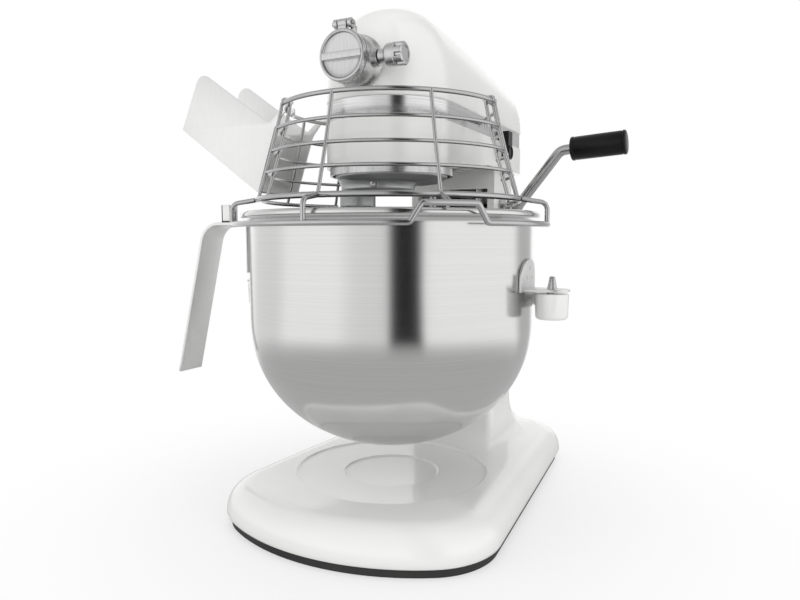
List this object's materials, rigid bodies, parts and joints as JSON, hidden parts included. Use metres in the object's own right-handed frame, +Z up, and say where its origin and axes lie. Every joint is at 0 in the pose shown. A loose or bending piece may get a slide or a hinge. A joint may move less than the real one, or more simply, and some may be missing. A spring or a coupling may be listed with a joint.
{
  "type": "planetary stand mixer",
  "caption": "Bench-top planetary mixer with a lever-lifted steel bowl, wire bowl guard, pouring chute and a capped attachment hub.",
  "frame": {"origin": "on the bench surface, under the axis of the bowl and of the planetary", "axes": "+Z up, front of the mixer towards -Y, lift lever on the +X side"},
  "size_m": [0.3991, 0.3642, 0.4186],
  "materials": {
    "white_enamel": "gloss white paint on cast metal",
    "brushed_bowl": "satin brushed stainless",
    "polished_wire": "polished wire",
    "satin_metal": "fine brushed metal",
    "planet_metal": "satin cast metal",
    "sheet_steel": "brushed sheet",
    "black_grip": "satin black plastic",
    "black_rubber": "matt rubber",
    "machined_steel": "machined",
    "motor_iron": "laminations",
    "winding": "wound rotor",
    "brass": "brass",
    "board_green": "board",
    "red_button": "gloss plastic"
  },
  "bodies": {
    "frame": {"base_casting": "white_enamel", "base_foot_strip": "black_rubber", "column_casting": "white_enamel", "column_bolts": "machined_steel", "guide_rods": "machined_steel", "gearcase": "white_enamel", "trim_band": "satin_metal", "head_cover": "white_enamel", "rear_cover": "white_enamel", "head_screws": "machined_steel", "ring_gear": "machined_steel", "drip_ring": "satin_metal", "shaft_bearings": "machined_steel", "motor_stator": "motor_iron", "brush_holders": "brass", "control_board": "board_green", "cord_gland": "black_rubber", "hub_barrel": "satin_metal", "hub_hinge_pin": "machined_steel", "lever_bush": "machined_steel", "guard_rear": "polished_wire", "guard_latch": "black_grip"},
    "planet_carrier": {"centre_shaft": "machined_steel", "planetary": "planet_metal", "planet_screws": "machined_steel"},
    "beater": {"planet_pinion": "machined_steel", "beater_shaft": "machined_steel", "cross_pin": "machined_steel"},
    "reduction": {"reduction_shaft": "machined_steel"},
    "rotor": {"motor_rotor": "winding", "motor_fan": "black_grip"},
    "hub_output": {"hub_drive": "machined_steel"},
    "cap": {"hub_cap": "satin_metal"},
    "clamp_knob": {"hub_knob": "satin_metal"},
    "yoke": {"bowl_support": "white_enamel", "locating_pins": "machined_steel", "yoke_slider": "machined_steel", "bowl_shell": "brushed_bowl", "bowl_brackets": "sheet_steel", "bowl_handle": "sheet_steel", "bowl_latch": "sheet_steel"},
    "lever": {"lever_rod": "polished_wire", "lever_grip": "black_grip"},
    "front_guard": {"guard_front": "polished_wire"},
    "pouring_chute": {"chute": "sheet_steel"},
    "speed_control": {"speed_lever": "machined_steel", "speed_knob": "black_grip"},
    "power": {"power_switch": "black_grip"},
    "reset": {"reset_button": "red_button"}
  },
  "joints": [
    {"name": "planetary_spin", "type": "hinge", "parent": "frame", "child": "planet_carrier", "pos_m": [0, 0, 0.3], "axis": [0, 0, 1], "continuous": true},
    {"name": "beater_spin", "type": "hinge", "parent": "planet_carrier", "child": "beater", "pos_m": [-0.02547, -0.01279, 0.27], "axis": [0, 0, 1], "continuous": true},
    {"name": "reduction_spin", "type": "hinge", "parent": "frame", "child": "reduction", "pos_m": [0.026, 0.05072, 0.33], "axis": [0, 0, 1], "continuous": true},
    {"name": "motor_spin", "type": "hinge", "parent": "frame", "child": "rotor", "pos_m": [0, 0.12, 0.35], "axis": [0, 1, 0], "continuous": true},
    {"name": "hub_spin", "type": "hinge", "parent": "frame", "child": "hub_output", "pos_m": [0, -0.03, 0.366], "axis": [0, -1, 0], "continuous": true},
    {"name": "hub_cap_hinge", "type": "hinge", "parent": "frame", "child": "cap", "pos_m": [0, -0.076, 0.389], "axis": [-1, 0, 0], "range_deg": [0, 120]},
    {"name": "hub_knob_turn", "type": "hinge", "parent": "frame", "child": "clamp_knob", "pos_m": [0.03, -0.063, 0.366], "axis": [1, 0, 0], "continuous": true},
    {"name": "bowl_lift", "type": "slide", "parent": "frame", "child": "yoke", "axis": [0, 0, 1], "range_m": [-0.028, 0]},
    {"name": "lever_swing", "type": "hinge", "parent": "frame", "child": "lever", "pos_m": [0, 0.158, 0.262], "axis": [-1, 0, 0], "range_deg": [0, 80]},
    {"name": "guard_swing", "type": "hinge", "parent": "frame", "child": "front_guard", "pos_m": [0, 0, 0.26], "axis": [0, 0, 1], "range_deg": [0, 32]},
    {"name": "chute_lift", "type": "slide", "parent": "frame", "child": "pouring_chute", "axis": [0, 0, 1], "range_m": [0, 0.03]},
    {"name": "speed_slide", "type": "slide", "parent": "frame", "child": "speed_control", "axis": [0, 1, 0], "range_m": [-0.008, 0.008]},
    {"name": "power_rock", "type": "hinge", "parent": "frame", "child": "power", "pos_m": [-0.051, 0.15, 0.3335], "axis": [0, 0, 1], "range_deg": [-6, 6]},
    {"name": "reset_press", "type": "slide", "parent": "frame", "child": "reset", "axis": [0, -1, 0], "range_m": [0, 0.002], "stiffness_N_per_m": 400}
  ],
  "couplings": [
    {"joint": "beater_spin", "follows": "planetary_spin", "ratio": -3.375},
    {"joint": "reduction_spin", "follows": "planetary_spin", "ratio": -2.1667},
    {"joint": "motor_spin", "follows": "planetary_spin", "ratio": 21.667},
    {"joint": "hub_spin", "follows": "planetary_spin", "ratio": 1},
    {"joint": "lever_swing", "follows": "bowl_lift", "rad_per_m": -49.8}
  ]
}
